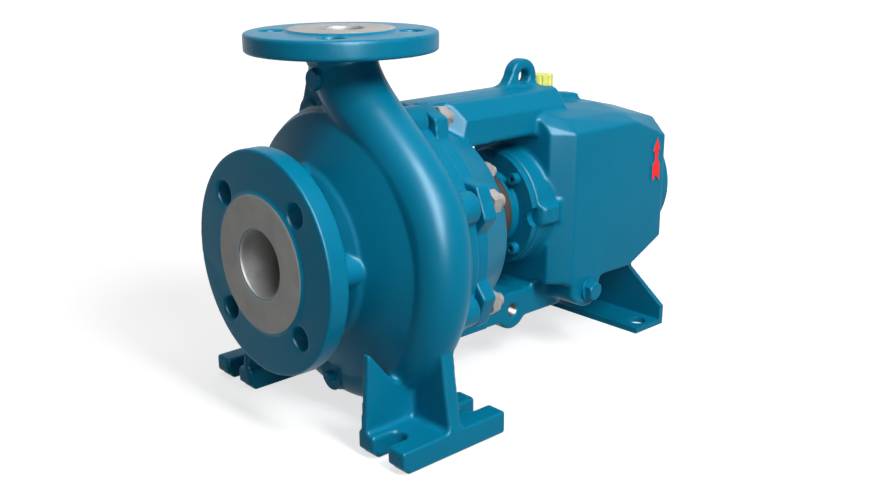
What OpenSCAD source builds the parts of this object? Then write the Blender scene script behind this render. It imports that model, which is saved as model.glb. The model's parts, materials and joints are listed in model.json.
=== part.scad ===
// Chemical centrifugal pump with an axial suction flange, a top discharge flange and a bearing frame.
// Millimetres. The origin is on the floor under the discharge centreline. +X is the drive end, +Z is up.
// Stations along the shaft are distances from the discharge centreline.

/* [Casing] */
// Height of the shaft axis above the floor
shaft_h = 132; // [130:1:150]
// Discharge centreline to the suction flange face
suction_reach = 80; // [78:1:95]
// Shaft axis to the discharge flange face
discharge_h = 160; // [156:1:180]
// Discharge centreline to the joint between casing and bearing frame
casing_depth = 42; // [40:1:48]
// Radius of the circle that the volute passage winds around
volute_base_r = 88; // [86:0.5:90]
// Passage radius at the end of the volute
throat_r = 16; // [14:0.5:17]
// Wall of the volute tube
volute_wall = 8; // [6:0.5:9]
// Radius of the collar where the nozzle meets the dome
collar_r = 65; // [62:0.5:67]
// Offset of the edge of the dome from the shaft axis, to the side where the volute ends
dome_shift_y = -6; // [-8:0.5:0]
// Offset of the edge of the dome from the shaft axis, upward
dome_shift_z = 3; // [0:0.5:4]
// Outer radius of the ring at the joint face
casing_ring_r = 100; // [98:1:102]

/* [Suction flange] */
// Outer diameter
suction_flange_d = 165; // [160:1:180]
// Thickness of the rim
suction_flange_t = 16; // [14:1:20]
// Bore for the liquid
suction_bore_d = 50; // [44:1:52]
// Diameter of the raised sealing face
suction_face_d = 102; // [90:1:104]
// Bolt circle
suction_pcd = 125; // [122:1:130]
// Bolt holes
suction_hole_d = 18; // [14:1:19]

/* [Discharge flange] */
// Outer diameter
discharge_flange_d = 140; // [135:1:150]
// Thickness of the rim
discharge_flange_t = 14; // [12:1:18]
// Bore for the liquid
discharge_bore_d = 32; // [28:1:34]
// Diameter of the raised sealing face
discharge_face_d = 78; // [70:1:80]
// Bolt circle
discharge_pcd = 100; // [98:1:104]
// Bolt holes
discharge_hole_d = 18; // [14:1:19]
// Height of both raised sealing faces
face_step = 2; // [1:0.5:3]
// Bolt holes in each pipe flange
flange_holes = 4; // [4:4:8]

/* [Casing feet] */
// Width of one foot along the shaft
foot_l = 100; // [96:1:110]
// Width of one foot across the shaft
foot_b = 50; // [46:1:54]
// Thickness of the foot slab
foot_t = 18; // [14:1:22]
// Slot spacing along the shaft
foot_slot_x = 70; // [64:1:74]
// Slot spacing across the shaft
foot_slot_y = 190; // [184:1:196]
// Width of the foot slots
foot_slot_w = 15; // [12:1:17]
// Thickness of the web along the shaft
foot_rib_t = 7; // [5:1:12]
// Thickness of the web across the shaft
foot_web_t = 12; // [8:1:16]

/* [Plugs and bosses] */
// Radius of the round bosses for plugs on the casing
plug_boss_r = 12.5; // [12:0.5:14]
// Height of the gauge boss above the shaft axis
gauge_boss_z = 125.5; // [124:0.5:128]
// Distance of the drain boss below the shaft axis
drain_boss_z = 103.5; // [101:0.5:105]
// Reach of the gauge boss in front of the discharge centreline
gauge_boss_x = 20; // [19:1:26]
// Reach of the plug boss behind the discharge centreline
rear_boss_x = 22; // [21:1:26]
// Reach of the drain boss in front of the discharge centreline
drain_boss_x = 17; // [16:1:22]
// Width across the flats of the plugs
plug_af = 14; // [12:1:16]
// Thread radius of the plugs
plug_thread_r = 6.5; // [5:0.5:7]

/* [Joint studs] */
// Number of studs at the joint face
stud_count = 8; // [8:1:8]
// Bolt circle of the studs
stud_pcd = 200; // [199:0.5:201]
// Stud diameter
stud_d = 10; // [8:0.5:11]
// Width across the flats of the stud nuts
nut_af = 17; // [16:0.5:18]
// Height of the stud nuts
nut_h = 8.5; // [7:0.5:10]
// Radius of the round stud bosses
stud_boss_r = 12.5; // [11:0.5:13]

/* [Impeller] */
// Impeller diameter
impeller_d = 164; // [150:1:166]
// Width of the passage at the impeller rim
impeller_b = 8; // [6:0.5:9]
// Thickness of the impeller shrouds
shroud_t = 3.5; // [3:0.25:4.5]
// Number of vanes
vane_count = 6; // [5:1:7]
// Thickness of a vane
vane_t = 4; // [3:0.25:5]
// Angle that a vane sweeps from eye to rim
vane_sweep = 115; // [90:5:130]
// Gap between the impeller shrouds and the casing walls
impeller_gap = 3; // [2:0.5:3.5]

/* [Bearing frame] */
// Thickness of the flange at the joint
frame_flange_t = 13; // [11:1:16]
// Outer radius of the flange between its lugs
frame_flange_r = 97; // [96:0.5:98]
// Length of the tapered drum behind the flange
drum_l = 41; // [38:1:46]
// Outer radius of the drum at the flange
drum_front_r = 90; // [88:0.5:91]
// Outer radius of the drum at its rear edge
drum_rear_r = 75; // [74:0.5:76]
// Joint face to the front wall of the bearing box
lantern_l = 134; // [130:1:140]
// Length of the bearing box
box_l = 138; // [134:1:146]
// Half width of the bearing box
box_half_w = 60; // [58:0.5:62]
// Half height of the bearing box at its side faces
box_half_h = 65; // [63:0.5:66]
// Height of the roof ridge above the shaft axis
ridge_h = 100; // [98:0.5:102]
// Half width of the top beam
beam_half_w = 30; // [28:0.5:32]
// Underside of the top beam above the shaft axis
beam_z = 63; // [60:0.5:64]
// Radius of the barrel round the front bearing
barrel_r = 50; // [49:0.5:52]
// Length of the barrel in front of the box
barrel_l = 18; // [16:1:20]

/* [Lifting eye] */
// Thickness of the lifting eye
eye_t = 12; // [10:1:14]
// Hole in the lifting eye
eye_hole_d = 12; // [10:0.5:14]
// Height of the hole above the shaft axis
eye_z = 107; // [106:0.5:109]
// Joint face to the centre of the eye
eye_x = 144; // [140:1:148]
// Radius of the top of the eye
eye_r = 15; // [13:0.5:16]

/* [Oil filling] */
// Bearing box front wall to the filler
filler_x = 36; // [34:1:40]
// Diameter of the filler cap
filler_cap_d = 21; // [19:0.5:23]
// Height of the filler cap
filler_cap_h = 15; // [12:0.5:17]
// Outer diameter of the filler neck
filler_neck_d = 16; // [14:0.5:17]
// Wall of the filler neck
filler_neck_wall = 2.5; // [2:0.25:3]

/* [Shaft and bearings] */
// Shaft diameter at the impeller
shaft_d_impeller = 22; // [20:0.5:23]
// Shaft diameter under the sleeve
shaft_d_sleeve = 27; // [26:0.5:28]
// Bearing bore
bearing_bore_d = 30; // [29:0.5:31]
// Bearing outer diameter
bearing_od = 72; // [70:0.5:74]
// Bearing width
bearing_w = 19; // [17:0.5:20]
// Ball diameter
ball_d = 12; // [11:0.25:12.5]
// Balls in each bearing
ball_count = 8; // [7:1:9]
// Shaft diameter at the coupling
shaft_end_d = 24; // [22:0.5:25]
// Free length of the shaft end
shaft_end_l = 50; // [46:1:56]
// Width of the keyway at the coupling
key_w = 8; // [6:0.5:8]
// Wall of the shaft sleeve
sleeve_wall = 3; // [2:0.25:3.5]

/* [Bearing covers] */
// Thickness of the front cover
front_cover_t = 5.5; // [5:0.5:8]
// Length of the hub of the front cover
front_hub_l = 7.5; // [6:0.5:9]
// Radius of the hub of the front cover
front_hub_r = 33; // [31:0.5:33.5]
// Radius of the front cover
front_cover_r = 48.7; // [48:0.1:49]
// Radius of the screw circle of the front cover
front_screw_r = 42; // [41:0.5:42.5]
// Thickness of the rear cover
rear_cover_t = 11; // [9:0.5:14]
// Radius of the rear cover
rear_cover_r = 58; // [56:0.5:59]

/* [Support foot] */
// Thickness of the bent plate
support_t = 5; // [4:0.5:6]
// Half width of the base
support_half_w = 63; // [60:1:66]
// Length of the base
support_l = 40; // [38:1:46]
// Bolt holes in the base
support_hole_d = 16; // [12:0.5:18]
// Spacing of the bolt holes
support_hole_y = 100; // [96:1:104]

/* [Clearances] */
// Radial clearance of parts that run past each other
run_gap = 0.3; // [0.2:0.05:0.4]
// Radial clearance of parts that are fitted together
fit_gap = 0.05; // [0.02:0.01:0.1]

/* [Hidden] */
paint = "#00718f";
bare_metal = "#77726c";
steel = "#96918c";
bright_steel = "#b8bcc0";
dark_seal = "#37322f";
cap_yellow = "#dcdc6e";
bronze = "#a9854e";

round_fn = 96;
cut = 1;
spot_h = 10;
tube_sides = 24;

joint_x = casing_depth;
drum_x = joint_x + frame_flange_t;
drum_end = drum_x + drum_l;
box_x = joint_x + lantern_l;
box_end = box_x + box_l;
collar_x = -36;
barrel_x = box_x - barrel_l;
front_cover_x = barrel_x - front_cover_t;
shaft_end = box_end + rear_cover_t + 10 + shaft_end_l;

// Impeller stations
impeller_r = impeller_d / 2;
front_inner = -impeller_b / 2;
back_inner = impeller_b / 2;
front_outer = front_inner - shroud_t;
back_outer = back_inner + shroud_t;
eye_r_in = suction_bore_d / 2 + 1;
eye_r_out = eye_r_in + 5;
eye_front_x = -24;
ring_wall = 4.5;
ring_front_x = eye_front_x - 3;
collar_back_x = front_outer - 7;

// Chamber that the impeller turns in
chamber_front = front_outer - impeller_gap;
chamber_back = back_outer + impeller_gap;
chamber_r = volute_base_r - 1;
cover_seat_x = joint_x - 16;
cover_rim_r = casing_ring_r - 8;
gasket_t = 1.5;

filler_seat_z = ridge_h - 9;
oil_drain_x = box_x + 37;
oil_drain_z = -73;
oil_lobe_r = 16;
roof_pad_x = box_end - 95;
roof_pad_w = 15;
foot_pad_h = 4;
support_bolt_x = box_end - 16;
support_bolt_y = 14;
support_bolt_r = 4;
rear_screw_r = 50;
discharge_bore_l = 30;
bore_relief = 3;
first_stud_a = 180 / stud_count;
beam_bevel_x = drum_end + 1;
beam_core_w = 16;
boss_reach_x = -5;

// Seal
sleeve_r = shaft_d_sleeve / 2 + sleeve_wall;
cover_back_t = 8;
cover_back_x = drum_end - cover_back_t;
cover_flange_t = 11;
cover_flange_r = drum_rear_r - 4;
cover_stud_r = 65;
cover_nut_h = 8;
cover_nut_af = 14;
gland_r = 48;
gland_t = 9;
seat_r = 26;
seal_r = 25;
seal_bore_r = 30;
gland_screw_r = 39;
gland_screw_af = 10;

// Bearings
front_bearing_x = barrel_x + 6;
rear_bearing_x = box_end - 6 - bearing_w;
pitch_r = (bearing_bore_d + bearing_od) / 4;

// Moves to a station on the shaft axis, with the children's +Z along the shaft
module on_shaft(x = 0) translate([x, 0, shaft_h]) rotate([0, 90, 0]) children();

// Turns an outline of [station, radius] points about the shaft axis
module turned(outline)
    on_shaft() rotate_extrude($fn = round_fn) polygon([for (p = outline) [p[1], p[0]]]);

// A plain ring round the shaft from one station to another
module ring(x0, x1, r_in, r_out)
    on_shaft(x0) difference() {
        cylinder(r = r_out, h = x1 - x0, $fn = round_fn);
        translate([0, 0, -cut]) cylinder(r = r_in, h = x1 - x0 + 2 * cut, $fn = round_fn);
    }

// A rod along the shaft axis's direction from one station to another
module rod(x0, x1, r) on_shaft(x0) cylinder(r = r, h = x1 - x0, $fn = round_fn);

// Repeats children on a circle round the shaft
module around(count, radius, first = 0)
    for (k = [0 : count - 1])
        translate([0, 0, shaft_h]) rotate([first + k * 360 / count, 0, 0])
            translate([0, 0, radius]) children();

// A rod along +X from the children's own origin
module x_rod(x0, x1, r, sides = 48)
    translate([x0, 0, 0]) rotate([0, 90, 0]) cylinder(r = r, h = x1 - x0, $fn = sides);

// A hexagon along +X, with its corners chamfered at the far side
module x_hex(x0, x1, af)
    translate([x0, 0, 0]) rotate([0, 90, 0]) intersection() {
        cylinder(d = af / cos(30), h = x1 - x0, $fn = 6);
        rotate_extrude($fn = 48)
            polygon([[0, 0], [af * 0.6, 0], [af * 0.6, x1 - x0 - af * 0.1], [af * 0.48, x1 - x0],
                [0, x1 - x0]]);
    }

module plate_yz(x, t) translate([x, 0, shaft_h]) rotate([90, 0, 90]) linear_extrude(t) children();
module plate_xz(y, t) translate([0, y + t, shaft_h]) rotate([90, 0, 0]) linear_extrude(t) children();

// The volute tube. Its angle runs from the top over +Y, the bottom and -Y, the way the liquid turns.
// The passage reaches a little inside the chamber's wall, which opens it to the impeller all the way round.
cutwater_a = 18;
neck_a = 286;
spiral_rings = 30;
neck_rings = 12;
neck_pull = 45;
tube_flat = 0.94;
slot_depth = 4;
neck_r_top = discharge_bore_d / 2 + volute_wall + 2;
neck_rib_t = 6;
function scroll_r(a) = throat_r * sqrt(max(a, 8) / 300);
function spiral_point(a, s) = let(c = volute_base_r + scroll_r(a) - s) [c * sin(a), c * cos(a)];
function bezier(p0, p1, p2, p3, t) =
    pow(1 - t, 3) * p0 + 3 * pow(1 - t, 2) * t * p1 + 3 * (1 - t) * t * t * p2 + pow(t, 3) * p3;
function unit(v) = v / norm(v);
neck_dir = unit(spiral_point(neck_a + 1, 0) - spiral_point(neck_a - 1, 0));
neck_end = [0, discharge_h - discharge_flange_t];
function neck_point(t, s) = let(start = spiral_point(neck_a, s))
    bezier(start, start + neck_pull * neck_dir, neck_end - [0, neck_pull], neck_end, t);
function ring_angle(i) = cutwater_a + (neck_a - cutwater_a) * i / spiral_rings;
function neck_t(i) = (i - spiral_rings) / neck_rings;
function tube_centre(i, s) = i < spiral_rings ? spiral_point(ring_angle(i), s) : neck_point(neck_t(i), s);
function tube_dir(i, s) =
    unit(tube_centre(min(i + 1, spiral_rings + neck_rings), s) - tube_centre(max(i - 1, 0), s));
function outer_r(i) = i < spiral_rings ? scroll_r(ring_angle(i)) + volute_wall
    : (scroll_r(neck_a) + volute_wall) * (1 - neck_t(i)) + neck_r_top * neck_t(i);
function passage_r(i) = i < spiral_rings ? scroll_r(ring_angle(i)) + slot_depth / 2
    : (scroll_r(neck_a) + slot_depth / 2) * (1 - neck_t(i)) + discharge_bore_d / 2 * neck_t(i);

// One ring of the tube: a circle round its centre, across its direction
function tube_ring(c, d, r) = [for (k = [0 : tube_sides - 1])
    let(a = k * 360 / tube_sides) [r * tube_flat * cos(a), c[0] + r * sin(a) * d[1],
        c[1] - r * sin(a) * d[0]]];

// A closed tube through all its rings of points
module skin(rings) {
    n = tube_sides;
    last = (len(rings) - 1) * n;
    sides = [for (i = [0 : len(rings) - 2]) for (k = [0 : n - 1])
        [i * n + k, (i + 1) * n + k, (i + 1) * n + (k + 1) % n, i * n + (k + 1) % n]];
    translate([0, 0, shaft_h]) polyhedron([for (r = rings) each r],
        concat(sides, [[for (k = [0 : n - 1]) k]], [[for (k = [n - 1 : -1 : 0]) last + k]]), convexity = 8);
}
module volute_outer()
    skin([for (i = [0 : spiral_rings + neck_rings]) tube_ring(tube_centre(i, 0), tube_dir(i, 0),
        outer_r(i))]);
module volute_passage()
    skin([for (i = [1 : spiral_rings + neck_rings - 1])
        tube_ring(tube_centre(i, slot_depth / 2), tube_dir(i, slot_depth / 2), passage_r(i))]);

function arc(cx, cy, r, a0, a1, n = 8) = [for (i = [0 : n]) let(a = a0 + (a1 - a0) * i / n)
    [cx + r * cos(a), cy + r * sin(a)]];

// The domed front wall, turned about an axis that lies off the shaft, toward the wide end of the volute
module front_dome()
    translate([0, dome_shift_y, dome_shift_z])
        turned(concat([[-38, 0], [-38, 50], [collar_x - 1, 58], [-20.5, 99]],
            arc(-8, 90, 14, 142, 90, 5), [[12, 102], [12, 0]]));

// Nozzle behind the suction flange with the four lobes of its collar, and the rear ring at the joint
lobe_r = 54;
lobe_round = 12;
neck_r = suction_bore_d / 2 + 14;
flange_back = -suction_reach + face_step + suction_flange_t;
module nozzle_and_ring() {
    turned([[flange_back - 2, 0], [flange_back - 2, neck_r + 3], [flange_back, neck_r + 3],
        [flange_back + 3, neck_r],
        [-54, neck_r + 2], [-48, 49], [-43, 57], [-39, collar_r - 2], [collar_x, collar_r], [0, collar_r],
        [0, 0]]);
    turned([[-8, 0], [-8, casing_ring_r - 3], [18, casing_ring_r], [joint_x, casing_ring_r], [joint_x, 0]]);
}

module suction_flange()
    difference() {
        union() {
            rod(-suction_reach, flange_back, suction_face_d / 2);
            rod(-suction_reach + face_step, flange_back, suction_flange_d / 2);
        }
        around(flange_holes, suction_pcd / 2, 45) x_rod(-suction_reach - cut, flange_back + cut,
            suction_hole_d / 2);
    }

module discharge_flange()
    difference() {
        translate([0, 0, shaft_h + discharge_h - face_step - discharge_flange_t]) {
            cylinder(d = discharge_face_d, h = discharge_flange_t + face_step, $fn = round_fn);
            cylinder(d = discharge_flange_d, h = discharge_flange_t, $fn = round_fn);
        }
        for (k = [0 : flange_holes - 1]) rotate([0, 0, 45 + k * 360 / flange_holes])
            translate([discharge_pcd / 2, 0, shaft_h + discharge_h - discharge_flange_t - 2 * face_step])
                cylinder(d = discharge_hole_d, h = discharge_flange_t + 3 * face_step, $fn = 48);
    }

foot_cove_r = 5;
module casing_foot(side) {
    y_in = foot_slot_y / 2 - foot_b / 2;
    y_out = foot_slot_y / 2 + foot_b / 2;
    slab_top = -shaft_h + foot_t;
    mirror([0, side > 0 ? 0 : 1, 0]) {
        difference() {
            translate([-foot_l / 2, y_in, 0]) cube([foot_l, foot_b, foot_t]);
            for (end = [-1, 1]) {
                translate([end * foot_slot_x / 2, foot_slot_y / 2, -cut])
                    cylinder(d = foot_slot_w, h = foot_t + 2 * cut, $fn = 48);
                translate([end > 0 ? foot_slot_x / 2 : -foot_l / 2 - cut,
                    foot_slot_y / 2 - foot_slot_w / 2, -cut])
                    cube([(foot_l - foot_slot_x) / 2 + cut, foot_slot_w, foot_t + 2 * cut]);
            }
            // Cove along the lower edge at the suction side
            translate([-foot_l / 2, y_in - cut, 0]) rotate([-90, 0, 0])
                cylinder(r = foot_cove_r, h = foot_b + 2 * cut, $fn = 48);
        }
        plate_yz(-foot_web_t / 2, foot_web_t)
            polygon([[y_in, slab_top - cut], [y_out, slab_top - cut], [y_out - 10, -50], [60, -50],
                [60, -90]]);
        plate_xz(y_in + 10 - foot_rib_t, foot_rib_t)
            polygon([[-foot_l / 2, slab_top - cut], [0, slab_top - cut], [0, -85], [-20, -85],
                [-foot_l / 2 + 12.5, -63.5], [-foot_l / 2 + 4, -53]]);
    }
}

// Stud bosses. The one beside the neck reaches further forward, and a rib ties it to the neck.
module stud_bosses() {
    around(stud_count, stud_pcd / 2, first_stud_a) x_rod(14, joint_x - 3, stud_boss_r);
    around(1, stud_pcd / 2, -first_stud_a) x_rod(boss_reach_x, joint_x - 3, stud_boss_r);
}
module neck_rib() {
    boss_y = stud_pcd / 2 * sin(first_stud_a);
    boss_z = stud_pcd / 2 * cos(first_stud_a);
    plate_yz(-neck_rib_t / 2, neck_rib_t)
        polygon([[5, boss_z], [boss_y, boss_z - stud_boss_r / 2], [boss_y + stud_boss_r - 0.5, boss_z + 3],
            [neck_r_top + 8, neck_end[1] - 4], [neck_r_top, neck_end[1]], [5, neck_end[1]]]);
}

module volute_casing()
    color(paint) difference() {
        union() {
            nozzle_and_ring();
            front_dome();
            volute_outer();
            suction_flange();
            discharge_flange();
            translate([0, 0, shaft_h + discharge_h - discharge_flange_t - face_step - 12])
                cylinder(r1 = neck_r_top - 2, r2 = neck_r_top + 4, h = 12 + cut, $fn = round_fn);
            stud_bosses();
            neck_rib();
            around(4, lobe_r, 0) x_rod(flange_back - cut, collar_x + cut, lobe_round);
            for (side = [-1, 1]) casing_foot(side);
            translate([0, 0, shaft_h + gauge_boss_z]) x_rod(-gauge_boss_x, 0, plug_boss_r);
            translate([0, 0, shaft_h + gauge_boss_z]) x_rod(0, rear_boss_x, plug_boss_r);
            translate([0, 0, shaft_h - drain_boss_z]) x_rod(-drain_boss_x, 0, plug_boss_r);
        }
        volute_passage();
        // Impeller chamber, suction bore and seats
        rod(-suction_reach - cut, eye_front_x, suction_bore_d / 2);
        rod(ring_front_x, chamber_front, eye_r_out + run_gap + ring_wall);
        turned([[chamber_front - 6, 0], [chamber_front - 6, 45], [chamber_front, chamber_r - 6],
            [chamber_front, chamber_r], [chamber_back, chamber_r], [chamber_back, 0]]);
        rod(chamber_back - cut, cover_seat_x + cut, chamber_r - 2);
        rod(cover_seat_x, joint_x + cut, cover_rim_r);
        // Discharge bore, stud holes, plug threads and the flats round the plugs
        translate([0, 0, shaft_h + discharge_h - discharge_bore_l]) {
            cylinder(d = discharge_bore_d, h = discharge_bore_l + cut, $fn = 48);
            translate([0, 0, -bore_relief]) cylinder(d = discharge_bore_d + 2, h = bore_relief, $fn = 48);
        }
        around(stud_count, stud_pcd / 2, first_stud_a) x_rod(joint_x - 20, joint_x + cut, stud_d / 2);
        translate([0, 0, shaft_h + gauge_boss_z]) x_rod(-gauge_boss_x - cut, rear_boss_x + cut,
            plug_thread_r);
        translate([0, 0, shaft_h - drain_boss_z]) x_rod(-drain_boss_x - cut, 0, plug_thread_r);
        translate([0, 0, shaft_h + gauge_boss_z]) x_rod(-gauge_boss_x - spot_h, -gauge_boss_x, plug_boss_r);
        translate([0, 0, shaft_h + gauge_boss_z]) x_rod(rear_boss_x, rear_boss_x + spot_h, plug_boss_r);
        translate([0, 0, shaft_h - drain_boss_z]) x_rod(-drain_boss_x - spot_h, -drain_boss_x, plug_boss_r);
    }

module casing_wear_ring()
    color(bronze) ring(ring_front_x + fit_gap, collar_back_x - 0.5, eye_r_out + run_gap,
        eye_r_out + run_gap + ring_wall - fit_gap);

module screw_plug(z, x_face, thread_l, side = -1)
    translate([0, 0, z]) mirror([side < 0 ? 1 : 0, 0, 0]) {
        x_rod(x_face - thread_l, x_face + cut, plug_thread_r - fit_gap);
        x_hex(x_face, x_face + 8, plug_af);
    }

// The drain plug has a low round head with a small hexagon on it
module drain_plug() color(paint) translate([0, 0, shaft_h - drain_boss_z]) mirror([1, 0, 0]) {
    x_rod(drain_boss_x - 10, drain_boss_x + cut, plug_thread_r - fit_gap);
    x_rod(drain_boss_x, drain_boss_x + 3, plug_boss_r - 1);
    x_hex(drain_boss_x + 2, drain_boss_x + 8, plug_af / 2 + 1);
}
// The gauge plugs end just short of the discharge bore
plug_end_x = discharge_bore_d / 2 + 0.5;
module gauge_plug()
    color(paint) screw_plug(shaft_h + gauge_boss_z, gauge_boss_x, gauge_boss_x - plug_end_x);
module rear_gauge_plug()
    color(paint) screw_plug(shaft_h + gauge_boss_z, rear_boss_x, rear_boss_x - plug_end_x, 1);

module casing_cover() {
    rim_x = cover_seat_x + gasket_t;
    color(bare_metal) difference() {
        turned([[chamber_back, sleeve_r + 3], [chamber_back, chamber_r - 2 - run_gap],
            [rim_x, chamber_r - 2 - run_gap], [rim_x, cover_rim_r - run_gap],
            [joint_x, cover_rim_r - run_gap],
            [joint_x, 62], [joint_x + 8, 46], [cover_back_x - cover_flange_t, 46],
            [cover_back_x - cover_flange_t, cover_flange_r], [cover_back_x, cover_flange_r],
            [cover_back_x, seal_bore_r], [chamber_back + 12, seal_bore_r],
            [chamber_back + 12, sleeve_r + 3]]);
        around(4, cover_stud_r, 45) x_rod(cover_back_x - cover_flange_t - cut, cover_back_x + cut, 4);
        around(4, gland_screw_r, 0) x_rod(cover_back_x - 14, cover_back_x + cut, 3);
    }
}

module casing_gasket()
    color("#d8d4c8") ring(cover_seat_x, cover_seat_x + gasket_t, chamber_r - 2 + run_gap,
        cover_rim_r - run_gap);

module casing_studs()
    color(steel) around(stud_count, stud_pcd / 2, first_stud_a)
        x_rod(joint_x - 18, drum_x + nut_h + 6.5, stud_d / 2 - fit_gap);

module casing_nuts()
    color(steel) around(stud_count, stud_pcd / 2, first_stud_a) difference() {
        x_hex(drum_x, drum_x + nut_h, nut_af);
        x_rod(drum_x - cut, drum_x + nut_h + cut, stud_d / 2);
    }

module cover_studs()
    color(steel) around(4, cover_stud_r, 45)
        x_rod(cover_back_x - cover_flange_t + 2, drum_end + cover_nut_h + 5, 4 - fit_gap);

module cover_nuts()
    color(steel) around(4, cover_stud_r, 45) difference() {
        x_hex(drum_end, drum_end + cover_nut_h, cover_nut_af);
        x_rod(drum_end - cut, drum_end + cover_nut_h + cut, 4);
    }

module seal_gland()
    color(steel) difference() {
        turned([[cover_back_x, sleeve_r + 1.5], [cover_back_x, gland_r], [cover_back_x + gland_t, gland_r],
            [cover_back_x + gland_t, gland_screw_r - gland_screw_af * 0.65],
            [cover_back_x + gland_t + 6, sleeve_r + 8], [cover_back_x + gland_t + 6, sleeve_r + 1.5]]);
        rod(cover_back_x - cut, cover_back_x + 6, seat_r);
        around(4, gland_screw_r, 0) x_rod(cover_back_x - cut, cover_back_x + gland_t + cut, 3.3);
    }

module gland_screws()
    color(bright_steel) around(4, gland_screw_r, 0) {
        x_rod(cover_back_x - 12, cover_back_x + gland_t + cut, 3 - fit_gap, 32);
        x_hex(cover_back_x + gland_t, cover_back_x + gland_t + 5, gland_screw_af);
    }

module seal_seat()
    color("#4a4d50") ring(cover_back_x - 3, cover_back_x + 6, sleeve_r + 0.8, seat_r - fit_gap);

module seal_ring()
    color("#2f3032") ring(cover_back_x - 11, cover_back_x - 3.2, sleeve_r + fit_gap, seal_r);

module seal_head()
    color(bright_steel)
        turned([[cover_back_x - 45, sleeve_r + fit_gap], [cover_back_x - 45, seal_r],
            [cover_back_x - 38, seal_r],
            [cover_back_x - 38, seal_r - 3], [cover_back_x - 20, seal_r - 3], [cover_back_x - 20, seal_r],
            [cover_back_x - 11, seal_r], [cover_back_x - 11, sleeve_r + fit_gap]]);

module shaft_sleeve()
    color(bright_steel) ring(back_outer + 6, cover_back_x + gland_t + 22, shaft_d_sleeve / 2 + fit_gap,
        sleeve_r);

module deflector_ring()
    color(dark_seal) turned([[front_cover_x - front_hub_l - 7, bearing_bore_d / 2 + fit_gap],
        [front_cover_x - front_hub_l - 7, front_hub_r - 5],
        [front_cover_x - front_hub_l - 4, front_hub_r - 0.2],
        [front_cover_x - front_hub_l - 0.5, front_hub_r - 0.2],
        [front_cover_x - front_hub_l - 0.5, bearing_bore_d / 2 + fit_gap]]);

// The flange at the joint, with one trapezoid lug at each stud
module joint_flange()
    on_shaft(joint_x) linear_extrude(frame_flange_t) difference() {
        union() {
            circle(r = frame_flange_r, $fn = round_fn);
            for (k = [0 : stud_count - 1]) rotate(first_stud_a + k * 360 / stud_count)
                translate([stud_pcd / 2, 0]) polygon([[-5, -20], [8.5, -12.5], [8.5, 12.5], [-5, 20]]);
        }
        circle(r = cover_rim_r - 6, $fn = round_fn);
    }

module drum()
    turned([[joint_x + 5, cover_rim_r - 6], [joint_x + 5, drum_front_r + 1], [drum_x, drum_front_r],
        [drum_end, drum_rear_r], [drum_end, gland_r + 3], [cover_back_x, gland_r + 3],
        [cover_back_x, drum_rear_r - 3.6], [drum_x, drum_front_r - 6]]);

roof_arc_r = 60;
beam_shoulder_z = 84;

// The top beam is bevelled at each side behind the nuts, and only its core runs on to the joint
module top_beam()
    difference() {
        plate_yz(drum_x - 2, box_x - drum_x + 38)
            polygon(concat([[-beam_half_w, beam_z], [-beam_half_w, beam_shoulder_z]],
                arc(0, ridge_h - roof_arc_r, roof_arc_r, 110, 70, 6),
                [[beam_half_w, beam_shoulder_z], [beam_half_w, beam_z]]));
        for (side = [0, 1]) mirror([0, side, 0]) difference() {
            translate([beam_bevel_x, -beam_half_w, shaft_h + beam_shoulder_z])
                rotate([0, 0, -131]) rotate([0, -10.6, 0]) translate([0, -60, -60]) cube([60, 120, 90]);
            translate([drum_x - 10, -beam_core_w, shaft_h]) cube([80, 4 * beam_core_w, ridge_h + 10]);
        }
    }

// The lower beam is deeper round a threaded hole in its side
low_beam_w = 28;
tap_x = 153;
tap_z = -86;
module bottom_beam() {
    plate_yz(drum_x - 2, box_x - drum_x + 40)
        polygon([[-low_beam_w, -95], [low_beam_w, -95], [low_beam_w, -70], [-low_beam_w, -70]]);
    plate_xz(-low_beam_w, 2 * low_beam_w) translate([tap_x, tap_z]) circle(r = 17, $fn = 48);
}

// One cross-section of the bearing box: half outline from the bottom up to the ridge
module box_section(x, half)
    plate_yz(x, 0.1) polygon(concat(half, [for (i = [len(half) - 1 : -1 : 0]) [-half[i][0], half[i][1]]]));
module bearing_box() {
    w = box_half_w;
    h = box_half_h;
    hull() {
        box_section(box_x, [[w - 16, -h], [w - 16, h], [w - 22, h + 7], [20, h + 19], [0, h + 21]]);
        box_section(box_x + 16, [[w, -h], [w, h], [w - 15, h + 11], [20, h + 19], [0, h + 21]]);
        box_section(box_end - 52, [[w, -h], [w, h], [w - 15, h + 8], [20, h + 14], [0, h + 15]]);
        box_section(box_end - 43, [[w, -h], [w, h], [w - 15, h + 7]]);
        box_section(box_end - 0.1, [[w, 20 - h], [w, h - 18], [w - 16, h - 2], [0, h + 3]]);
    }
}

// The lobe runs on into the front edge of the box
module drain_lobe() {
    corner_x = box_x + 16;
    translate([oil_drain_x, oil_drain_z]) circle(r = oil_lobe_r, $fn = 48);
    translate([corner_x + 12, oil_drain_z]) circle(r = 12, $fn = 48);
    polygon([[corner_x, 0], [corner_x, oil_drain_z], [corner_x + 12, oil_drain_z - 12],
        [oil_drain_x, oil_drain_z - oil_lobe_r], [oil_drain_x + oil_lobe_r, oil_drain_z],
        [oil_drain_x + oil_lobe_r, 0]]);
}

module lifting_eye() {
    cx = joint_x + eye_x;
    plate_xz(-eye_t / 2, eye_t)
        polygon(concat([[cx - 36, ridge_h - 8], [cx - 36, ridge_h - 3], [cx - 20, ridge_h + 2]],
            arc(cx, eye_z, eye_r, 170, 10, 12),
            [[cx + 15.5, ridge_h + 3], [cx + 20, ridge_h - 3], [cx + 20, ridge_h - 8]]));
}

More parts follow.
